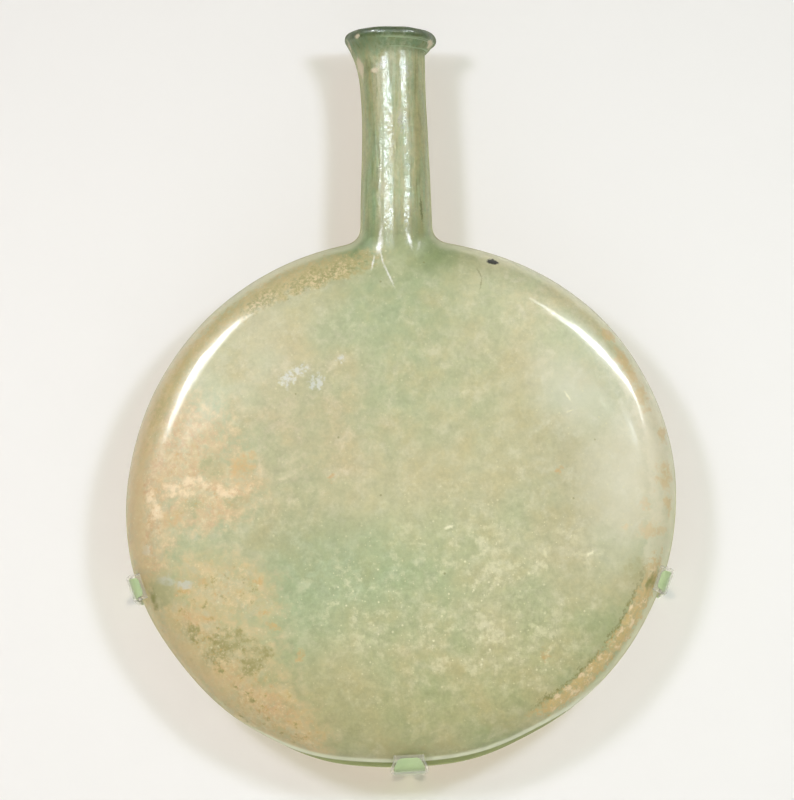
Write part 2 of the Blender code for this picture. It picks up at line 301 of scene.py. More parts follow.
def neck_radius(height):
    up = (height - DISC_HALF.z) / NECK_WAIST_HEIGHT
    if up < 1.0:
        return mix(NECK_BASE_RADIUS, NECK_WAIST_RADIUS, smooth(up))
    above = height - DISC_HALF.z - NECK_WAIST_HEIGHT
    share = smooth(above / (LIP_HEIGHT - NECK_WAIST_HEIGHT))
    return mix(NECK_WAIST_RADIUS, NECK_TOP_RADIUS, share)


def round_point(radius, turn, height):
    across = neck_middle(height) + radius * math.cos(turn)
    return Vector((across, radius * math.sin(turn), height))


def rightward(turn):
    """1 at the front, right and back, falling to 0 at the left."""
    return 1.0 - smooth(-math.cos(turn))


def flare_foot(turn):
    return BEAD_Z - mix(*FLARE_DEPTH, rightward(turn))


def lip_points(turn):
    """Up the outside of the flare, round the rolled rim and down into the mouth."""
    points = []
    foot = flare_foot(turn)
    start = mix(*LIP_ROLL_START, rightward(turn))
    middle = BEAD_Z + LIP_BEAD_RADIUS - LIP_ROLL_RADIUS
    core = LIP_RADIUS - LIP_ROLL_RADIUS
    end_radius = core + LIP_ROLL_RADIUS * math.cos(start)
    end_height = middle - LIP_ROLL_RADIUS * math.sin(start)
    for row in range(FLARE_ROWS + 1):
        share = row / FLARE_ROWS
        out = share ** mix(*FLARE_POWER, rightward(turn))
        radius = mix(neck_radius(foot), end_radius, out)
        points.append(round_point(radius, turn, mix(foot, end_height, share)))
    for row in range(1, BEAD_ROWS + 1):
        around = mix(-start, math.pi, row / BEAD_ROWS)
        radius = core + LIP_ROLL_RADIUS * math.cos(around)
        points.append(round_point(radius, turn, middle + LIP_ROLL_RADIUS * math.sin(around)))
    bottom = BEAD_Z - MOUTH_DEPTH
    bore = neck_radius(bottom) - NECK_WALL
    for row in range(1, MOUTH_ROWS + 1):
        share = 1.0 - row / MOUTH_ROWS
        radius = mix(bore, core - LIP_ROLL_RADIUS, share * share)
        points.append(round_point(radius, turn, mix(bottom, middle, share)))
    return points


def shoulder_points(inset, neck_inset, turn):
    def beyond_neck(rise):
        point = disc_point(inset, turn, rise)
        radius = neck_radius(point.z) - neck_inset
        return math.hypot(point.x - neck_middle(point.z), point.y) - radius

    meet_rise = solve(beyond_neck, 0.0, math.pi / 2)
    meet = disc_point(inset, turn, meet_rise)

    def short_of_fillet(rise):
        return (disc_point(inset, turn, rise) - meet).length - SHOULDER_FILLET

    end_rise = solve(short_of_fillet, 0.0, meet_rise)
    end = disc_point(inset, turn, end_rise)
    angle = math.atan2(meet.y, meet.x - neck_middle(meet.z))
    top = meet.z + SHOULDER_FILLET
    start = round_point(neck_radius(top) - neck_inset, angle, top)
    along = disc_point(inset, turn, mix(end_rise, meet_rise, TANGENT_SHARE)) - end
    corner = end + along.normalized() * (meet - end).length
    upper = mix(start, meet, HANDLE_SHARE)
    lower = mix(end, corner, HANDLE_SHARE)
    points = []
    for row in range(FILLET_ROWS + 1):
        share = row / FILLET_ROWS
        left = 1.0 - share
        point = start * left**3 + upper * (3 * left * left * share)
        points.append(point + lower * (3 * left * share * share) + end * share**3)
    return angle, end_rise, points


def wall_column(inset, neck_inset, disc_rows, turn, top_height):
    angle, end_rise, fillet = shoulder_points(inset, neck_inset, turn)
    turned = (turn - angle + math.pi) % (2 * math.pi) - math.pi
    points = []
    for row in range(1, NECK_ROWS):
        share = row / NECK_ROWS
        height = mix(top_height, fillet[0].z, share)
        around = angle + turned * (1.0 - smooth(share))
        points.append(round_point(neck_radius(height) - neck_inset, around, height))
    points += fillet
    for row in range(1, disc_rows):
        rise = mix(end_rise, -math.pi / 2, row / disc_rows)
        points.append(disc_point(inset, turn, rise))
    return points


def ripple_height(point, shift, ripple):
    across, along, height = ripple
    place = Vector((point.x / across, point.y / across, point.z / along))
    return height * noise.noise(place + shift)


def ripple(point, seed):
    """How far hand-blown glass stands out from the even shape here."""
    shift = Vector((seed, 2 * seed, 3 * seed))
    flat = ripple_height(point, shift, BROAD_RIPPLE) + ripple_height(point, shift, SMALL_RIPPLE)
    tall = ripple_height(point, shift, DRAWN_RIPPLE) + ripple_height(point, shift, STREAK_RIPPLE)
    on_neck = smooth((point.z - NECK_RIPPLE_START) / NECK_RIPPLE_BLEND)
    return mix(flat - DISC_SINK, tall - NECK_SINK, on_neck)


def flask_columns():
    """Columns of points up the outside, over the lip and down the inside.

    The second result is the number of the first row that is inside.
    """
    columns = []
    mouth_bottom = BEAD_Z - MOUTH_DEPTH
    for number in range(COLUMNS):
        turn = 2 * math.pi * number / COLUMNS
        outside = wall_column(0.0, 0.0, DISC_ROWS, turn, flare_foot(turn))
        inside = wall_column(BODY_WALL, NECK_WALL, INNER_DISC_ROWS, turn, mouth_bottom)
        columns.append(outside[::-1] + lip_points(turn) + inside)
    return columns, len(outside) + FLARE_ROWS + BEAD_ROWS + 2


def skin(shape, within):
    """Faces round the columns, closed at the bottom both outside and inside."""
    columns, first_inside = flask_columns()
    rings = []
    for row, points in enumerate(zip(*columns)):
        ring = [shape.verts.new(point) for point in points]
        for vertex in ring:
            vertex[within] = float(row >= first_inside)
        rings.append(ring)
    for lower, upper in zip(rings, rings[1:]):
        for spot in range(COLUMNS):
            after = (spot + 1) % COLUMNS
            shape.faces.new((lower[spot], lower[after], upper[after], upper[spot]))
    for ring, inset, value in ((rings[0], 0.0, 0.0), (rings[-1], BODY_WALL, 1.0)):
        pole = shape.verts.new(disc_point(inset, 0.0, -math.pi / 2))
        pole[within] = value
        for spot in range(COLUMNS):
            shape.faces.new((ring[spot], ring[(spot + 1) % COLUMNS], pole))
    bmesh.ops.recalc_face_normals(shape, faces=shape.faces)
    shape.normal_update()


def ripple_glass(shape, within):
    moves = []
    for vertex in shape.verts:
        seed = mix(OUTSIDE_SEED, INSIDE_SEED, vertex[within])
        moves.append((vertex, vertex.normal * ripple(vertex.co, seed)))
    for vertex, move in moves:
        vertex.co += move


def make_flask(material):
    shape = bmesh.new()
    within = shape.verts.layers.float.new("inside")
    skin(shape, within)
    ripple_glass(shape, within)
    for vertex in shape.verts:
        vertex.co *= MM
    mesh = bpy.data.meshes.new("glass_flask")
    shape.to_mesh(mesh)
    shape.free()
    mesh.shade_smooth()
    mesh.materials.append(material)
    flask = bpy.data.objects.new("glass_flask", mesh)
    flask.location = DISC_CENTRE * MM
    bpy.context.scene.collection.objects.link(flask)
    return flask


# Glass, its weathering, and the light and shade painted into it

DISC_GREEN = (0.565, 0.635, 0.40)
DISC_CREAM = (0.76, 0.71, 0.49)
DISC_OLIVE = (0.63, 0.57, 0.32)
DISC_PALE = (0.86, 0.83, 0.66)
NECK_TEAL = (0.52, 0.68, 0.47)
NECK_OLIVE = (0.67, 0.63, 0.36)
NECK_TAN = (0.77, 0.70, 0.50)
NECK_LINES = (0.36, 0.38, 0.14)
PINK_CRUST = (0.75, 0.46, 0.26)
CREAM_CRUST = (0.75, 0.58, 0.33)
PALE_CRUST = (0.90, 0.72, 0.48)
TAN_CRUST = (0.58, 0.48, 0.24)
GOLD_CRUST = (0.70, 0.52, 0.22)
GREY_CRUST = (0.60, 0.56, 0.38)
BROWN_CRUST = (0.34, 0.30, 0.11)
# Olive crust; also the colour of the painted shadows of the clips
OLIVE_CRUST_AND_SHADE = (0.46, 0.44, 0.23)
ORANGE_CRUST = (0.68, 0.42, 0.14)
RIM_DIRT = (0.52, 0.45, 0.20)
RIGHT_DIRT = (0.64, 0.46, 0.19)
RIGHT_EDGE = (0.88, 0.80, 0.61)
RIM_CRUST = (0.68, 0.50, 0.23)
LIP_CRUST = (0.74, 0.64, 0.47)
# Dark dirt; also the colour of the painted contact shadows of the clips
DARK_DIRT_AND_SHADOW = (0.28, 0.27, 0.09)
PALE_SPECK = (0.90, 0.87, 0.64)
BLUE_SHEEN = (0.72, 0.76, 0.80)
# Painted violet sheen on the neck's highlight streaks
PAINTED_VIOLET_SHEEN = (0.72, 0.70, 0.90)
# Milky weathering; also the colour of the painted sheen on the neck's highlights
MILKY_HAZE_AND_SHEEN = (0.86, 0.86, 0.77)
# Painted light in a pale band inside the disc's outline
DISC_EDGE_LIGHT = (0.90, 0.88, 0.66)
# Painted shade along the outline of the disc and of the neck, where the glass is seen edge on
DISC_OUTLINE_SHADE = (0.50, 0.46, 0.20)
NECK_EDGE_SHADE = (0.38, 0.38, 0.18)
# Painted highlight along the lower rim's edge, and painted shade on the rim's underside, which faces
# down away from the lamps
UNDERSIDE_HIGHLIGHT = (0.84, 0.88, 0.66)
UNDERSIDE_SHADE = (0.18, 0.24, 0.07)
UNDERSIDE_SHADE_SPOTS = (0.34, 0.36, 0.14)
# Painted highlight on the creases at the shoulder
PAINTED_GLINT = (0.95, 0.95, 0.93)
SPECKLE = (0.86, 0.87, 0.82)
FLECK = (0.82, 0.83, 0.78)
LIP_TEAL = (0.46, 0.57, 0.48)
LIP_DARK = (0.50, 0.56, 0.42)
BLACK_MARK = (0.01, 0.012, 0.006)
SLIT = (0.14, 0.16, 0.04)
DISC_VEIL = (0.905, 0.857, 0.81)
NECK_VEIL = (0.864, 0.809, 0.741)
DEEP_GLASS = (0.42, 0.62, 0.32)
DEEP_GLASS_DENSITY = 55.0
DULL = (0.35, 0.7, 0.0)  # how opaque, how rough and how shiny
UNDERSIDE = (0.113, 0.0, -0.993)  # which way the rim at the bottom faces

# Sizes of the patterns in the glass
CLOUD_SIZE = 46.0
MOTTLE_SIZE = 12.0
BLOTCH_SIZE = 5.0
THIN_SIZE = 3.6
FLECK_SIZE = 3.0
GRAIN_SIZE = 1.3
HAMMERED_SIZE = 1.0
DRAWN_OUT = (1.0, 1.0, 0.16)  # the neck's streaks are long along its height
LINES_DRAWN_OUT = (1.0, 1.0, 0.07)

# How opaque and how rough the clean glass is, from its clearest places to its dullest
DISC_HAZE = (0.32, 0.50)
NECK_HAZE = (0.18, 0.30)
DISC_ROUGH = (0.46, 0.58)
NECK_ROUGH = (0.30, 0.42)
DISC_SHINE = 0.05
NECK_DIMPLES = 2.4
DISC_RELIEF = 0.2
POLISH_RELIEF = 0.3
POLISH_ROUGH = 0.28
INSIDE_ROUGH = 0.6
GLASS_IOR = 1.5
COAT_ROUGH = 0.1
GLASS_RELIEF = 0.3
GLASS_RELIEF_SHARE = 0.35

# Depths of picture places in front of the disc's middle plane
FACE_DEPTH = -17.0
EDGE_DEPTH = -9.0
NECK_DEPTH = -11.0
LIP_DEPTH = -6.0
SHOULDER_DEPTH = -12.0
FRONT_BLEND = (1.0, -3.0)
NECK_BLEND = (82.0, 96.0)

# Where the glass is greener or browner: picture place, size, turn and colour
GLASS_SHADES = (
    (375, 560, 90, 50, 0, (0.90, 0.98, 0.92)),
    (320, 585, 70, 42, -20, (0.84, 0.95, 0.93)),
    (300, 550, 70, 34, 0, (0.88, 0.90, 0.88)),
    (320, 705, 70, 38, 10, (0.86, 0.90, 0.86)),
    (395, 290, 90, 40, 0, (0.93, 0.97, 0.94)),
    (350, 248, 30, 18, -25, (0.64, 0.78, 0.64)),
    (438, 246, 34, 22, 10, (0.66, 0.76, 0.60)),
    (393, 240, 40, 24, 0, (0.84, 0.90, 0.82)),
    (590, 470, 50, 90, 0, (0.92, 0.94, 0.99)),
    (650, 460, 24, 80, 0, (1.08, 1.06, 1.12)),
    (535, 290, 90, 44, 30, (1.24, 1.20, 1.34)),
    (300, 435, 60, 70, 0, (1.12, 1.0, 1.04)),
    (410, 690, 190, 56, 0, (0.99, 0.97, 0.91)),
    (404, 222, 18, 16, 0, (0.88, 0.82, 0.70)),
    (419, 110, 7, 60, 0, (0.90, 0.86, 0.74)),
    (365, 90, 6, 50, 0, (0.86, 0.84, 0.68)),
    (371, 190, 6, 48, 0, (0.84, 1.0, 0.94)),
    (418, 150, 6, 80, 0, (1.0, 0.98, 0.88)),
)

# Crusts and dirt, painted shadows of the clips and painted sheen on the neck, each a list of picture
# places with half sizes and at times a turn
PINK_SPOTS = ((176, 452, 52, 50, 10), (146, 510, 26, 74, 0), (205, 500, 46, 28, -20))
CREAM_SPOTS = ((178, 491, 15, 9, 20), (223, 488, 10, 9), (196, 482, 16, 6), (152, 505, 7, 16))
# Olive crust; the last spot is painted shadow beside the left clip
OLIVE_AND_SHADOW_SPOTS = ((212, 466, 15, 13), (191, 508, 14, 13), (235, 500, 14, 8), (163, 592, 18, 13))
RUSTY_SPOTS = ((160, 492, 9, 18, 8), (170, 520, 12, 12), (243, 470, 12, 14))
TAN_SPOTS = (
    (202, 646, 80, 52, 42),
    (252, 706, 74, 34, 36),
    (225, 590, 52, 30, 15),
    (300, 738, 26, 12, 30),
)
PEACH_SPOTS = ((262, 698, 60, 15, 36), (195, 622, 20, 12, 30), (222, 676, 22, 12, 20))
BROWN_SPOTS = (
    (232, 640, 22, 12, 12),
    (204, 661, 9, 9),
    (250, 664, 10, 12, 60),
    (190, 632, 12, 7, 40),
    (218, 652, 12, 8),
    (262, 650, 10, 8),
)
ORANGE_SPOTS = (
    (202, 581, 6, 3.5),
    (258, 582, 7, 4),
    (263, 612, 5, 4.5),
    (273, 627, 7, 4, 20),
    (182, 592, 8, 3),
    (205, 619, 10, 3),
    (331, 478, 4, 4),
    (300, 655, 4, 6),
    (546, 655, 4, 6),
    (560, 470, 3, 3),
)
BLUE_SPOTS = ((145, 547, 5, 6), (165, 580, 9, 5, 10), (184, 584, 8, 4))
FLAKE_SPOTS = ((287, 379, 7, 8), (301, 369, 8, 6), (316, 381, 7, 8), (340, 358, 5, 4))
GOLD_SPOTS = (
    (608, 333, 6, 8, -40),
    (626, 366, 6, 18, -25),
    (640, 396, 6, 16, -15),
    (663, 432, 4, 9),
    (663, 478, 8, 14),
    (668, 503, 4, 9),
    (645, 504, 5, 6),
    (651, 531, 12, 7),
    (625, 527, 3, 4),
)
LOWER_RIGHT_SPOTS = ((640, 605, 20, 60, 30), (586, 678, 18, 60, 57))
UPPER_LEFT_SPOTS = ((197, 350, 40, 120, 40), (292, 287, 84, 30, -24), (345, 272, 20, 16, -10))
RIGHT_RIM_SPOTS = ((655, 440, 34, 100, -5), (648, 540, 26, 44, 15))
LEFT_RIM_SPOTS = ((160, 420, 40, 110, 22), (132, 520, 20, 80, 0), (185, 665, 20, 90, -42))
CRUMB_SPOTS = ((262, 300, 24, 10, -35), (322, 278, 46, 14, -24))
# Painted shadows of the clips on the glass: beside the side clips, and a dark smudge just above the
# bottom clip
CLIP_SHADOW_SPOTS = ((160, 588, 14, 14), (637, 572, 12, 15), (420, 747, 40, 5))
# Painted contact shadows where the side clips touch the glass
CLIP_TOUCH_SHADOW_SPOTS = ((152, 597, 5, 7, -20), (653, 583, 4, 9, 15))
MILKY_SPOTS = ((628, 480, 34, 74, 0), (575, 390, 40, 30, 40))
LOW_SPOTS = (
    (470, 570, 90, 60, 0),
    (480, 640, 110, 46, 0),
    (360, 600, 60, 50, 0),
    (545, 555, 50, 34, 0),
)
LIP_SPOTS = (
    (348, 50, 4, 13, -25),
    (360, 66, 3, 10, -15),
    (431, 45, 4, 5),
    (357, 39, 2.5, 2),
    (374, 72, 4, 3, 20),
)
# Painted milky sheen and violet tints on the neck's highlight streaks below the lip
PAINTED_SHEEN_SPOTS = ((388, 66, 12, 26), (404, 60, 8, 24))
PAINTED_VIOLET_SPOTS = ((405, 71, 4, 6), (383, 64, 3, 8), (401, 120, 3, 10))
POLISH_SPOTS = ((196, 382, 40, 110, 35), (590, 350, 44, 130, -46))
BLACK_SPOT = (493, 260, 6.0, 3.0, 12)

# Marks as strokes: picture points, width, depth and softness
SLIT_STROKE = (((420.5, 198), (422.5, 222)), 2.2, EDGE_DEPTH, 0.5)
CRACK_STROKE = (((477, 268), (482, 278), (480, 289)), 1.2, SHOULDER_DEPTH, 0.6)
# Painted highlights along the creases where the neck meets the disc
CREASE_HIGHLIGHT_STROKES = (
    (((382, 226), (378, 246)), 2.8, SHOULDER_DEPTH, 0.8),
    (((381, 238), (379, 249)), 4.6, SHOULDER_DEPTH, 0.8),
    (((374, 256), (372, 267)), 1.6, -14.0, 0.8),
    (((380, 249), (383, 262), (393, 284)), 1.5, -14.0, 0.8),
    (((408, 234), (411, 245)), 3.0, SHOULDER_DEPTH, 0.9),
)
SCRATCH_STROKES = (
    (((565, 392), (571, 401)), 1.4, -16.0, 0.6),
    (((567, 412), (572, 410)), 1.4, -16.0, 0.6),
    (((446, 528), (452, 526)), 2.6, FACE_DEPTH, 0.6),
    (((588, 555), (594, 551)), 2.4, FACE_DEPTH, 0.6),
)

# Regions: spots, softness, depth and which pushed place makes the edge uneven
SPOT_REGIONS = {
    "pink": (PINK_SPOTS, 0.9),
    "tan": (TAN_SPOTS, 0.95),
    "peach": (PEACH_SPOTS, 0.9),
    "olive_and_shadow": (OLIVE_AND_SHADOW_SPOTS, 0.9),
    "rusty": (RUSTY_SPOTS, 0.9),
    "brown": (BROWN_SPOTS, 0.9),
    "cream": (CREAM_SPOTS, 0.9),
    "orange": (ORANGE_SPOTS, 0.9, FACE_DEPTH, "ragged"),
    "blue": (BLUE_SPOTS, 0.9, FACE_DEPTH, "ragged"),
    "flakes": (FLAKE_SPOTS, 0.9, FACE_DEPTH, "nicked"),
    "golden": (GOLD_SPOTS, 0.9, EDGE_DEPTH, "ragged"),
    "clip_shadow": (CLIP_SHADOW_SPOTS, 0.9),
    "clip_touch_shadow": (CLIP_TOUCH_SHADOW_SPOTS, 0.9),
    "lip": (LIP_SPOTS, 0.7, LIP_DEPTH, "nicked"),
    "painted_sheen": (PAINTED_SHEEN_SPOTS, 0.95, NECK_DEPTH, "ragged"),
    "painted_violet": (PAINTED_VIOLET_SPOTS, 0.9, NECK_DEPTH, "ragged"),
}
# Regions along the rim: spots, softness, from and to as shares of the way to the edge, fade
RIM_REGIONS = {
    "left_rim": (LEFT_RIM_SPOTS, 0.7, 0.92, 0.985, 0.015),
    "inner_rim": (UPPER_LEFT_SPOTS, 0.6, 0.885, 0.955, 0.02),
    "crumbs": (CRUMB_SPOTS, 0.8, 0.85, 0.96, 0.02),
    "right_rim": (RIGHT_RIM_SPOTS, 0.8, 0.90, 0.985, 0.02),
    "dark_line": (LOWER_RIGHT_SPOTS, 0.4, 0.902, 0.924, 0.015),
    "crust_band": (LOWER_RIGHT_SPOTS, 0.4, 0.918, 0.966, 0.012),
}

# Layers in the order they are laid: region, the pattern that breaks it up, where the patch
# starts and is whole, how far the pattern pushes its edge, strength, colours, how opaque, and
# at times how rough and how shiny
CRUSTS = (
    ("pink", "fleck", 0.05, 0.9, 0.9, 0.9, (PINK_CRUST, CREAM_CRUST, PALE_CRUST), 0.55),
    ("tan", "blotch", 0.05, 1.0, 1.0, 0.9, (TAN_CRUST, CREAM_CRUST, GOLD_CRUST), 0.55),
    ("crust", "thin", 0.6, 1.6, 2.4, 0.7, (GREY_CRUST,), 0.5),
    ("peach", "fleck", 0.2, 1.3, 1.5, 1.0, (PINK_CRUST, CREAM_CRUST, GOLD_CRUST), 0.58),
    ("olive_and_shadow", "fleck", 0.2, 1.3, 1.6, 1.0, (OLIVE_CRUST_AND_SHADE,), 0.55),
    ("rusty", "fleck", 0.4, 1.5, 1.8, 0.7, (ORANGE_CRUST,), 0.55),
    ("brown", "fleck", 0.1, 1.2, 1.8, 1.0, (BROWN_CRUST, OLIVE_CRUST_AND_SHADE, BROWN_CRUST), 0.65),
    ("cream", "fleck", 0.3, 1.3, 2.0, 1.0, (PALE_CRUST,), 0.75),
    ("orange", "grain", 0.2, 1.2, 1.3, 0.7, (ORANGE_CRUST,), 0.6),
    ("crust", "grain", 0.9, 1.9, 2.2, 0.6, (PALE_CRUST,), 0.65),
    ("crust", "pits", 1.0, 1.9, 2.0, 0.6, (ORANGE_CRUST,), 0.55),
    ("tan", "fleck", 1.1, 2.0, 2.4, 1.0, (BROWN_CRUST,), 0.6),
    ("blue", "fleck", 0.2, 1.0, 1.2, 0.6, (BLUE_SHEEN,), 0.5, 0.3, 0.3),
    ("flakes", "grain", 0.3, 1.1, 2.0, 0.7, (BLUE_SHEEN,), 0.7, 0.3, 0.5),
    ("left_rim", "fleck", 0.0, 1.1, 1.3, 0.7, (CREAM_CRUST,), 0.55),
    ("inner_rim", "grain", 0.0, 1.3, 1.8, 0.8, (RIM_DIRT, GOLD_CRUST, CREAM_CRUST), 0.58),
    ("crumbs", "fleck", 0.0, 1.0, 1.6, 1.0, (RIM_DIRT,), 0.62),
    ("crumbs", "grain", 0.7, 1.7, 2.6, 0.5, (PALE_CRUST,), 0.7),
    ("crumbs", "pits", 0.5, 1.6, 2.4, 0.7, (DARK_DIRT_AND_SHADOW,), 0.6),
    ("right_rim", "fleck", -0.2, 1.1, 1.2, 0.65, (RIGHT_EDGE,), 0.6),
    ("golden", "fleck", 0.1, 1.1, 1.9, 1.0, (RIGHT_DIRT, GOLD_CRUST, CREAM_CRUST), 0.6),
    ("dark_line", "grain", 0.2, 1.2, 1.8, 1.0, (DARK_DIRT_AND_SHADOW,), 0.6),
    ("crust_band", "grain", 0.1, 1.0, 2.0, 1.0, (RIM_CRUST, GOLD_CRUST, CREAM_CRUST), 0.62),
    ("crust_band", "fleck", 0.9, 1.6, 2.6, 1.0, (PALE_CRUST,), 0.7),
    ("crust_band", "pits", 0.9, 1.5, 2.0, 1.0, (TAN_CRUST,), 0.65),
)
# Painted shadows of the clips, laid as darker patches on the glass
CLIP_SHADOWS = (
    ("clip_shadow", "fleck", 0.2, 1.3, 1.3, 0.7, (OLIVE_CRUST_AND_SHADE,), 0.55),
    ("clip_touch_shadow", "fleck", 0.1, 1.2, 0.8, 1.0, (DARK_DIRT_AND_SHADOW,), 0.6),
)
# The lip's crust, then painted sheen and violet tints on the neck's highlight streaks
LIP_LAYERS = (
    ("lip", "fleck", 0.3, 1.0, 1.3, 1.0, (LIP_CRUST,), 0.7),
    ("painted_sheen", "grain", 0.2, 1.4, 1.3, 0.3, (MILKY_HAZE_AND_SHEEN,), 0.5, 0.25, 0.9),
    ("painted_violet", "grain", 0.2, 1.2, 1.3, 0.5, (PAINTED_VIOLET_SHEEN,), 0.5, 0.2, 0.6),
)
# Scattered dots: spacing, radius, share shown, strength, strength low on the disc, how opaque
PALE_DOTS = ((2.6, 0.36, 0.25, 0.4, 0.8, 0.85), (1.3, 0.22, 0.25, 0.35, 0.8, 0.8))
DARK_DOTS = (7.0, 0.38, 0.14)


class WeatheringAndPaintedLight(Tree):
    """The flask's glass: layers of haze, crust and marks, and painted light and shade, placed by
    picture points.
    """

    def __init__(self, name):
        super().__init__(name)
        self.flat = self.place()
        split = self.node("SeparateXYZ", {0: self.flat})
        self.up = split.outputs["Z"]
        self.front = self.band(split.outputs["Y"], *FRONT_BLEND)
        self.neck = self.band(self.up, *NECK_BLEND)
        self.inside = self.node("Attribute", attribute_name="inside").outputs["Fac"]
        self.outside = self.invert(self.inside)
        self.shown = self.times(self.front, self.outside)
        self.facing = self.facing_away()
        self.bent = self.pushed(9.0, 4.0, 9.0)
        self.ragged = self.pushed(2.4, 5.0, 5.5)
        self.nicked = self.pushed(0.7, 2.0, 1.3)
        self.clouds = self.noise(self.flat, CLOUD_SIZE, 3.0, 0.55)
        self.mottle = self.noise(self.flat, MOTTLE_SIZE, 7.0, 0.62)
        self.blotch = self.noise(self.bent, BLOTCH_SIZE, 6.0, 0.66)
        self.thin = self.noise(self.nicked, THIN_SIZE, 5.0, 0.62)
        self.fleck = self.noise(self.flat, FLECK_SIZE, 5.0, 0.66)
        self.grain = self.noise(self.flat, GRAIN_SIZE, 3.0, 0.7)
        self.pits = self.invert(self.grain)
        self.share = self.disc_share(self.flat)
        self.ragged_share = self.disc_share(self.ragged)

    def pushed(self, size, detail, reach):
        """The place on the glass, pushed about by up to some of reach for an uneven edge."""
        push = self.noise(self.flat, size, detail, 0.6, colour=True)
        push = self.vector("SUBTRACT", push, (0.5, 0.5, 0.5))
        made = self.node("VectorMath", operation="MULTIPLY_ADD")
        self.feed(made.inputs[0], push)
        self.feed(made.inputs[1], (reach, reach, reach))
        self.feed(made.inputs[2], self.flat)
        return made.outputs[0]

    def disc_share(self, place):
        """How far place is from the disc's middle, as a share of the way to its edge."""
        return self.oval(place, 0.0, 0.0, DISC_HALF.x, DISC_HALF.z)

    def spot(self, across, down, wide, tall, turn=0.0, soft=0.5, depth=FACE_DEPTH, where="bent"):
        """1 in an ellipse of picture pixels on the front, fading out through its edge."""
        x, z = picture_place(across, down, depth)
        size = (wide / PIXELS_PER_MM, tall / PIXELS_PER_MM)
        away = self.oval(getattr(self, where), x, z, *size, math.radians(turn))
        return self.band(away, 1.0 + soft, 1.0 - soft)

    def group(self, spots, soft, depth=FACE_DEPTH, where="bent"):
        """1 in any of a list of ellipses of picture pixels."""
        return self.most(*(self.spot(*spot, soft=soft, depth=depth, where=where) for spot in spots))

    def rim(self, low, high, fade):
        """1 where the share of the way from the disc's middle to its edge is low to high."""
        rising = self.band(self.ragged_share, low - fade, low + fade)
        return self.times(rising, self.band(self.ragged_share, high + fade, high - fade))

    def find_regions(self):
        self.regions = {name: self.group(*row) for name, row in SPOT_REGIONS.items()}
        for name, (spots, soft, low, high, fade) in RIM_REGIONS.items():
            self.regions[name] = self.times(self.rim(low, high, fade), self.group(spots, soft))
        self.regions["crust"] = self.most(self.regions["tan"], self.regions["pink"])

    def patch(self, region, pattern, start, whole, push):
        """region broken up by a pattern, whole in its middle and ragged at its edge."""
        pushed = self.math("MULTIPLY_ADD", self.math("SUBTRACT", pattern, 0.5), push * 2, region)
        kept = self.times(self.band(region, 0.0, 0.35), self.shown)
        return self.times(self.band(pushed, start, whole), kept)

    def varied(self, first, second, third):
        """first, clouded with second and flecked with third."""
        colour = self.colours(self.band(self.blotch, 0.32, 0.68), first, second)
        return self.colours(self.band(self.fleck, 0.46, 0.72), colour, third)

    def lay(self, mask, colour, cover, rough=0.6, shine=0.1):
        """Lays a coloured layer over what is there, as opaque as cover where mask is 1."""
        self.base = self.colours(mask, self.base, colour)
        self.finish = self.colours(mask, self.finish, (cover, rough, shine))

    def layer(self, region, pattern, start, whole, push, strength, colours, *finish):
        """Lays one row of a table of layers."""
        mask = self.patch(self.regions[region], getattr(self, pattern), start, whole, push)
        colour = self.varied(*colours) if len(colours) > 1 else colours[0]
        self.lay(self.times(mask, strength), colour, *finish)

    def tint(self, mask, colour):
        """Multiplies the glass's colour by another where mask is 1."""
        self.base = self.colours(mask, self.base, colour, "MULTIPLY")

    def disc_colour(self):
        disc = self.colours(self.band(self.clouds, 0.3, 0.7), DISC_GREEN, DISC_CREAM)
        disc = self.colours(self.band(self.mottle, 0.40, 0.72, 0.0, 0.8), disc, DISC_OLIVE)
        return self.colours(self.band(self.blotch, 0.44, 0.78, 0.0, 0.8), disc, DISC_PALE)

    def neck_colour(self, drawn):
        streaks = self.noise(drawn, FLECK_SIZE, 5.0, 0.66)
        lines = self.vector("MULTIPLY", self.flat, LINES_DRAWN_OUT)
        lines = self.noise(lines, GRAIN_SIZE, 3.0, 0.6)
        stem = self.colours(self.band(streaks, 0.36, 0.62), NECK_TEAL, NECK_OLIVE)
        stem = self.colours(self.band(self.fleck, 0.42, 0.75, 0.0, 0.6), stem, NECK_TAN)
        return self.colours(self.band(lines, 0.54, 0.68, 0.0, 0.7), stem, NECK_LINES)

    def start(self):
        """Plain hazy glass, with clouds of green and cream."""
        drawn = self.vector("MULTIPLY", self.flat, DRAWN_OUT)
        self.base = self.colours(self.neck, self.disc_colour(), self.neck_colour(drawn))
        self.tint(self.band(self.grain, 0.75, 0.25), SPECKLE)
        self.tint(self.band(self.fleck, 0.72, 0.28), FLECK)
        haze = self.band(self.mottle, 0.3, 0.7, *DISC_HAZE)
        neck_haze = self.band(self.fleck, 0.3, 0.7, *NECK_HAZE)
        rough = self.band(self.mottle, 0.3, 0.7, *DISC_ROUGH)
        neck_rough = self.band(self.fleck, 0.35, 0.65, *NECK_ROUGH)
        shine = self.band(self.fleck, 0.7, 0.35, 0.3, 1.0)
        shine = self.times(shine, self.band(self.grain, 0.60, 0.40, 0.12, 1.0))
        parts = {
            0: self.numbers(self.neck, haze, neck_haze),
            1: self.numbers(self.neck, rough, neck_rough),
            2: self.numbers(self.neck, DISC_SHINE, shine),
        }
        self.finish = self.node("CombineColor", parts).outputs[0]
        hammered = self.times(self.noise(drawn, HAMMERED_SIZE, 3.0, 0.6), NECK_DIMPLES)
        dimples = self.math("MULTIPLY_ADD", self.grain, NECK_DIMPLES, hammered)
        self.height = self.numbers(self.neck, self.times(self.grain, DISC_RELIEF), dimples)

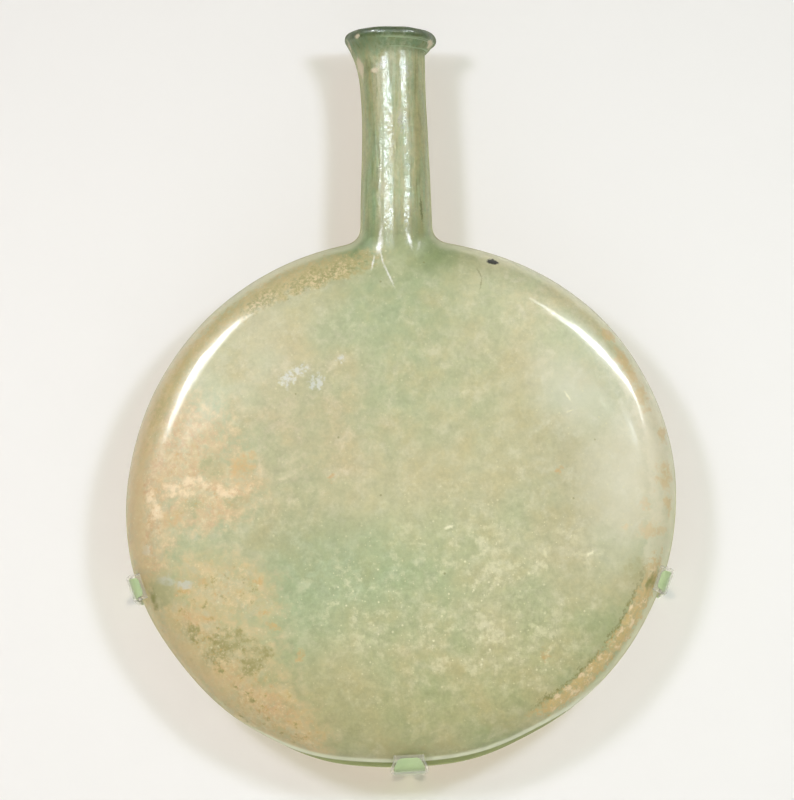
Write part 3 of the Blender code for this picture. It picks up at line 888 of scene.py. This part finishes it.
    def shade(self):
        """Large shades of the glass, and a band of painted light inside the disc's outline."""
        for across, down, wide, tall, turn, colour in GLASS_SHADES:
            spot = self.spot(across, down, wide, tall, turn, soft=0.9)
            self.tint(self.times(spot, self.front), colour)
        # Painted light: a pale band that follows the disc's outline as seen from any side
        rim = self.times(self.band(self.facing, 0.36, 0.55), self.outside)
        self.lay(self.times(rim, self.numbers(self.neck, 0.6, 0.0)), DISC_EDGE_LIGHT, 0.6)

    def haze(self):
        """Milky places, and painted shadows of the clips on the glass."""
        milky = self.group(MILKY_SPOTS, 0.95)
        self.lay(self.times(milky, self.times(self.shown, 0.55)), MILKY_HAZE_AND_SHEEN, 0.6)
        for row in CLIP_SHADOWS:
            self.layer(*row)

    def specks(self, spacing, radius, share):
        """Small scattered dots, a share of them shown."""
        cell = self.node("TexVoronoi", {"Vector": self.flat, "Scale": 1.0 / spacing}).outputs
        drawn = self.node("SeparateColor", {0: cell["Color"]}).outputs[0]
        shown = self.math("LESS_THAN", drawn, share)
        near = self.band(cell["Distance"], radius / spacing * 1.3, radius / spacing * 0.7)
        return self.times(self.times(shown, near), self.shown)

    def scatter(self):
        """Pale patches and dots, mostly low on the disc, and a few dark ones."""
        low = self.group(LOW_SPOTS, 0.7)
        patches = self.times(self.band(self.thin, 0.50, 0.70), self.times(low, self.shown))
        self.lay(self.times(patches, 0.6), PALE_SPECK, 0.55)
        for spacing, radius, share, strength, low_strength, cover in PALE_DOTS:
            dots = self.specks(spacing, radius, share)
            dots = self.times(dots, self.numbers(low, strength, low_strength))
            self.lay(dots, PALE_SPECK, cover)
        self.lay(self.times(self.specks(*DARK_DOTS), 0.6), DARK_DIRT_AND_SHADOW, 0.7)

    def outline(self):
        """Painted shade along the outline, standing in for the long paths through the glass there,
        and on the rim under the disc a painted highlight line over painted shade.
        """
        # Painted shade where the glass turns away from the eye
        outline_shade = self.band(self.facing, self.numbers(self.neck, 0.72, 0.5), 0.92)
        colour = self.colours(self.neck, DISC_OUTLINE_SHADE, NECK_EDGE_SHADE)
        self.lay(self.times(outline_shade, self.outside), colour, 0.7, 0.8, 0.0)
        normal = self.node("TexCoord").outputs["Normal"]
        under = self.vector("DOT_PRODUCT", normal, UNDERSIDE)
        # Painted highlight along the edge of the lower rim
        underside_highlight_line = self.times(self.band(under, 0.74, 0.80), self.band(under, 0.87, 0.84))
        self.lay(self.times(underside_highlight_line, self.shown), UNDERSIDE_HIGHLIGHT, 0.7, 0.4, 0.3)
        # Painted shade on the underside of the rim, which faces down
        underside_shade_mask = self.times(self.band(under, 0.84, 0.87), self.outside)
        self.lay(underside_shade_mask, self.colours(self.fleck, UNDERSIDE_SHADE, UNDERSIDE_SHADE_SPOTS), 0.6, 0.8, 0.0)

    def lip(self):
        """Darker glass in the lip, dull under its roll so that no lamp shows there as stripes, then
        the lip's crust and painted sheen on the neck's highlights.
        """
        flare = self.band(self.up, BEAD_Z - 11.0, BEAD_Z - 8.0)
        flare = self.times(flare, self.band(self.up, BEAD_Z - 2.2, BEAD_Z - 3.2))
        self.finish = self.colours(self.times(flare, 0.9), self.finish, DULL)
        self.tint(self.band(self.up, BEAD_Z - 9.0, BEAD_Z - 4.0), LIP_TEAL)
        self.tint(self.band(self.up, BEAD_Z - 2.4, BEAD_Z - 1.6), LIP_DARK)
        for row in LIP_LAYERS:
            self.layer(*row)

    def stroke(self, points, wide, depth, soft):
        """1 along straight strokes between picture points."""
        strokes = []
        for (x0, y0), (x1, y1) in zip(points, points[1:]):
            long = math.hypot(x1 - x0, y1 - y0) / 2 + wide / 2
            turn = math.degrees(math.atan2(y1 - y0, x1 - x0))
            middle = ((x0 + x1) / 2, (y0 + y1) / 2)
            strokes.append(self.spot(*middle, long, wide / 2, turn, soft, depth, "nicked"))
        return self.times(self.most(*strokes), self.shown)

    def marks(self):
        """The black mark, slit, crack, painted highlights along the shoulder's creases, and
        scratches.
        """
        black = self.spot(*BLACK_SPOT, 0.25, SHOULDER_DEPTH, "nicked")
        self.lay(self.times(black, self.shown), BLACK_MARK, 0.95, 0.5)
        self.lay(self.stroke(*SLIT_STROKE), SLIT, 0.7, 0.5)
        self.lay(self.times(self.stroke(*CRACK_STROKE), 0.6), DARK_DIRT_AND_SHADOW, 0.6, 0.5)
        # Painted highlights along the shoulder's creases
        crease_highlight = self.most(*(self.stroke(*row) for row in CREASE_HIGHLIGHT_STROKES))
        painted_glint = self.times(crease_highlight, self.band(self.grain, 0.3, 0.6, 0.45, 0.95))
        self.lay(painted_glint, PAINTED_GLINT, 0.8, 0.3, 0.5)
        scratches = self.most(*(self.stroke(*row) for row in SCRATCH_STROKES))
        self.lay(self.times(scratches, 0.85), PALE_SPECK, 0.8, 0.4)

    def polished(self):
        """1 in the smooth bands on the rounded edge that the arc lamps shine on."""
        arcs = self.times(self.group(POLISH_SPOTS, 0.9, where="flat"), self.shown)
        return self.times(arcs, self.band(self.share, 0.85, 0.89))

    def close(self):
        """Makes the glass itself from the layers."""
        polish = self.polished()
        cover, rough, shine = self.node("SeparateColor", {0: self.finish}).outputs
        rough = self.numbers(self.inside, self.numbers(polish, rough, POLISH_ROUGH), INSIDE_ROUGH)
        gloss = self.band(self.grain, 0.72, 0.35, 0.35, 0.85)
        shine = self.times(self.numbers(polish, shine, gloss), self.shown)
        height = self.numbers(polish, self.height, self.times(self.grain, POLISH_RELIEF))
        relief = {"Strength": GLASS_RELIEF_SHARE, "Distance": GLASS_RELIEF * MM, "Height": height}
        inputs = {
            "Base Color": self.base,
            "Roughness": rough,
            "IOR": GLASS_IOR,
            "Transmission Weight": self.invert(cover),
            "Coat Weight": shine,
            "Coat Roughness": COAT_ROUGH,
            "Normal": self.node("Bump", relief).outputs[0],
        }
        veil = self.colours(self.neck, DISC_VEIL, NECK_VEIL)
        self.see_through(self.node("BsdfPrincipled", inputs), veil)
        deep = {"Color": DEEP_GLASS, "Density": DEEP_GLASS_DENSITY}
        deep = self.node("VolumeAbsorption", deep)
        self.links.new(deep.outputs[0], self.end.inputs["Volume"])


def glass_material():
    t = WeatheringAndPaintedLight("weathered_glass_and_painted_light")
    t.find_regions()
    t.start()
    t.shade()
    for row in CRUSTS:
        t.layer(*row)
    t.haze()
    t.scatter()
    t.outline()
    t.lip()
    t.marks()
    t.close()
    return t.material


# Clips

PAINT_DARK = (0.28, 0.41, 0.17)
PAINT_LIGHT = (0.33, 0.46, 0.20)
PAINT_RELIEF = 0.1
TUBE_YELLOWED = (0.90, 0.90, 0.84)
TUBE_PALE = (0.97, 0.96, 0.93)
TUBE_LIGHT = (0.99, 0.985, 0.97)
TUBE_IOR = 1.04
BRASS_DARK = (0.42, 0.28, 0.10)
BRASS_BRIGHT = (0.62, 0.46, 0.20)


def paint_material():
    t = Tree("worn_green_paint")
    shade = t.noise(t.place(), 3.0, 4.0, 0.6)
    relief = {"Strength": 0.12, "Distance": PAINT_RELIEF * MM, "Height": shade}
    inputs = {
        "Base Color": t.colours(t.band(shade, 0.3, 0.7), PAINT_DARK, PAINT_LIGHT),
        "Roughness": t.band(shade, 0.3, 0.7, 0.42, 0.6),
        "Normal": t.node("Bump", relief).outputs[0],
    }
    t.surface(t.node("BsdfPrincipled", inputs))
    return t.material


def plastic_material():
    t = Tree("clear_tube")
    cloud = t.noise(t.place(), 1.6, 3.0, 0.5)
    facing = t.facing_away()
    inputs = {
        "Base Color": t.colours(cloud, TUBE_YELLOWED, TUBE_PALE),
        "Roughness": t.band(cloud, 0.3, 0.7, 0.12, 0.2),
        "Transmission Weight": t.band(facing, 0.05, 0.7, 0.45, 0.25),
        "IOR": TUBE_IOR,
    }
    straight = t.band(facing, 0.1, 0.6, 0.9, 0.62)
    t.see_through(t.node("BsdfPrincipled", inputs), TUBE_LIGHT, straight)
    return t.material


def brass_material():
    t = Tree("dulled_brass")
    cloud = t.noise(t.place(), 1.5, 5.0, 0.6)
    inputs = {
        "Base Color": t.colours(t.band(cloud, 0.35, 0.65), BRASS_DARK, BRASS_BRIGHT),
        "Roughness": t.band(cloud, 0.3, 0.7, 0.28, 0.5),
        "Metallic": 1.0,
    }
    t.surface(t.node("BsdfPrincipled", inputs))
    return t.material


# Stage, light and camera

STAGE_REACH = 3000.0
FLOOR_HEIGHT = -560.0
STAGE_ROUGH = 0.9
WALL_COLOUR = (0.835, 0.84, 0.83)
FLOOR_COLOUR = (0.84, 0.83, 0.81)

# Small lamps cast the soft shadows, and the streak and arc lamps only show as highlights
LAMP_AZIMUTH = 25.5
LAMP_RISE = 15.0
LAMP_DISTANCE = 800.0
LAMP_WIDE = 112.0
LAMP_TALL = 135.0
LAMP_DROP = 680.0
LAMP_POWER = 3.75
# Streaks on the neck: name, azimuth, rise, distance, wide, tall, power
STREAKS = (
    ("left_streak", -22.5, 15.7, 1430.0, 620.0, 175.0, 8.5),
    ("right_streak", 36.5, 16.75, 1430.0, 460.0, 114.0, 4.0),
)
STREAK_LIGHT = (0.80, 0.92, 1.0)
# Arcs on the rounded edge: name, picture places between which each lamp shows, width, strength
ARCS = (
    ("left_arc_tip", (252, 315), (240, 322), 60.0, 60.0),
    ("left_arc_high", (240, 322), (215, 345), 190.0, 100.0),
    ("left_arc_middle", (215, 345), (186, 393), 300.0, 120.0),
    ("left_arc_low", (186, 393), (169, 428), 170.0, 110.0),
    ("left_arc_end", (169, 428), (164, 441), 80.0, 40.0),
    ("right_arc_ticks", (532, 300), (548, 309), 80.0, 45.0),
    ("right_arc_high", (548, 311), (578, 331), 120.0, 60.0),
    ("right_arc_middle", (578, 331), (612, 363), 190.0, 115.0),
    ("right_arc_low", (612, 363), (632, 390), 130.0, 105.0),
    ("right_arc_end", (632, 390), (643, 422), 80.0, 50.0),
)
ARC_DISTANCE = 1500.0
ARC_SAMPLES = (-4, -2, 0, 2, 4)  # pixels round a point over which the glass's slope is averaged
ARC_LIGHT = (0.94, 0.97, 1.0)
LEFT_LIGHT = (1.0, 0.935, 0.905)
RIGHT_LIGHT = (0.97, 1.0, 0.97)
ROOM_LIGHT = (1.0, 0.96, 0.92)
ROOM_STRENGTH = 0.22
MIRRORED_STRENGTH = 0.36


def make_plane(name, corners, material):
    mesh = bpy.data.meshes.new(name)
    mesh.from_pydata([Vector(corner) * MM for corner in corners], [], [(0, 1, 2, 3)])
    mesh.materials.append(material)
    made = bpy.data.objects.new(name, mesh)
    bpy.context.scene.collection.objects.link(made)


def stage_material(name, colour, one_sided):
    t = Tree(name)
    shown = t.node("BsdfPrincipled", {"Base Color": colour, "Roughness": STAGE_ROUGH})
    if one_sided:
        back = t.node("NewGeometry").outputs["Backfacing"]
        clear = t.node("BsdfTransparent")
        shown = t.node("MixShader", {0: back, 1: shown.outputs[0], 2: clear.outputs[0]})
    t.surface(shown)
    return t.material


def make_stage():
    """A wall that is clear from behind, so that the back of the piece shows, and a floor."""
    far = STAGE_REACH
    floor = FLOOR_HEIGHT
    corners = ((-far, 0, floor), (far, 0, floor), (far, 0, far), (-far, 0, far))
    make_plane("wall", corners, stage_material("pale_wall", WALL_COLOUR, True))
    corners = ((-far, -far, floor), (far, -far, floor), (far, far, floor), (-far, far, floor))
    make_plane("floor", corners, stage_material("pale_floor", FLOOR_COLOUR, False))


def new_lamp(name, wide, tall, power, colour):
    data = bpy.data.lights.new(name, "AREA")
    data.shape = "RECTANGLE"
    data.size = wide * MM
    data.size_y = tall * MM
    data.energy = power
    data.color = colour
    lamp = bpy.data.objects.new(name, data)
    lamp.visible_camera = False
    bpy.context.scene.collection.objects.link(lamp)
    return lamp


def aim_lamp(lamp, azimuth, rise, distance, drop=0.0):
    """Puts a lamp round the disc's middle, aimed at a point drop below that middle."""
    azimuth = math.radians(azimuth)
    rise = math.radians(rise)
    away = Vector((math.sin(azimuth), -math.cos(azimuth), 0.0)) * math.cos(rise)
    away.z = math.sin(rise)
    lamp.location = (DISC_CENTRE + away * distance) * MM
    aim = away * distance + Vector((0.0, 0.0, drop))
    lamp.rotation_euler = aim.to_track_quat("Z", "Y").to_euler()


def highlight_only(lamp):
    lamp.visible_diffuse = False
    lamp.visible_transmission = False


def glass_at(glass, across, down):
    """Where the camera's ray through a picture point meets the glass, and the glass's slope."""
    x, z = picture_place(across, down, 0.0)
    ray = (Vector((x, 0.0, z)) - EYE).normalized()
    spot, normal, _, _ = glass.ray_cast(EYE * MM, ray)
    return spot / MM, normal


def mirrored_place(glass, across, down):
    """Where a lamp has to be to show at a picture point."""
    normal = Vector()
    for lower in ARC_SAMPLES:
        for further in ARC_SAMPLES:
            normal += glass_at(glass, across + further, down + lower)[1]
    spot = glass_at(glass, across, down)[0]
    return spot + (spot - EYE).normalized().reflect(normal.normalized()) * ARC_DISTANCE


def make_arc(glass, name, start, end, width, strength):
    """A strip lamp whose reflection on the glass runs between two picture points."""
    first = mirrored_place(glass, *start)
    second = mirrored_place(glass, *end)
    middle = (first + second) / 2
    back = middle.normalized()
    along = second - first
    long = along.length
    along = (along - back * along.dot(back)).normalized()
    lamp = new_lamp(name, long, width, strength * long * MM * width * MM, ARC_LIGHT)
    lamp.location = (DISC_CENTRE + middle) * MM
    lamp.rotation_euler = Matrix((along, back.cross(along), back)).transposed().to_euler()
    highlight_only(lamp)


def make_lamps():
    for side, name, colour in ((-1, "left_lamp", LEFT_LIGHT), (1, "right_lamp", RIGHT_LIGHT)):
        lamp = new_lamp(name, LAMP_WIDE, LAMP_TALL, LAMP_POWER, colour)
        aim_lamp(lamp, side * LAMP_AZIMUTH, LAMP_RISE, LAMP_DISTANCE, LAMP_DROP)
        lamp.visible_glossy = False
    for name, azimuth, rise, distance, wide, tall, power in STREAKS:
        lamp = new_lamp(name, wide, tall, power, STREAK_LIGHT)
        aim_lamp(lamp, azimuth, rise, distance)
        highlight_only(lamp)


def make_room():
    """Light from all round, brighter in what the glass mirrors than in what it lights."""
    world = bpy.data.worlds.new("room")
    bpy.context.scene.world = world
    world.use_nodes = True
    nodes = world.node_tree.nodes
    room = nodes["Background"]
    room.inputs[0].default_value = (*ROOM_LIGHT, 1.0)
    mixed = nodes.new("ShaderNodeMix")
    mixed.inputs[2].default_value = ROOM_STRENGTH
    mixed.inputs[3].default_value = MIRRORED_STRENGTH
    path = nodes.new("ShaderNodeLightPath")
    world.node_tree.links.new(path.outputs["Is Glossy Ray"], mixed.inputs[0])
    world.node_tree.links.new(mixed.outputs[0], room.inputs[1])
    bpy.context.scene.view_settings.view_transform = "Standard"


def make_camera():
    data = bpy.data.cameras.new("camera")
    data.sensor_fit = "HORIZONTAL"
    data.sensor_width = SENSOR
    data.lens = SENSOR * CAMERA_DISTANCE * PIXELS_PER_MM / PICTURE_WIDTH
    data.clip_start = NEAREST_SEEN * MM
    data.clip_end = FARTHEST_SEEN * MM
    camera = bpy.data.objects.new("camera", data)
    camera.location = (TARGET - LOOK * CAMERA_DISTANCE) * MM
    camera.rotation_euler = LOOK.to_track_quat("-Z", "Y").to_euler()
    bpy.context.scene.collection.objects.link(camera)
    bpy.context.scene.camera = camera


def dress_clips():
    paint = paint_material()
    plastic = plastic_material()
    brass = brass_material()
    for name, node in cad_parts.items():
        for ending, material in (("_hook", paint), ("_sleeve", plastic), ("_pin", brass)):
            if name.endswith(ending):
                node.data.materials.clear()
                node.data.materials.append(material)
        if name.endswith(("_hook", "_sleeve")):
            node.visible_shadow = False


make_camera()
make_stage()
make_lamps()
make_room()
flask = make_flask(glass_material())
glass = BVHTree.FromPolygons(
    [vertex.co for vertex in flask.data.vertices],
    [face.vertices[:] for face in flask.data.polygons],
)
for arc in ARCS:
    make_arc(glass, *arc)
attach(flask, "flask")
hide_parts("flask")
dress_clips()
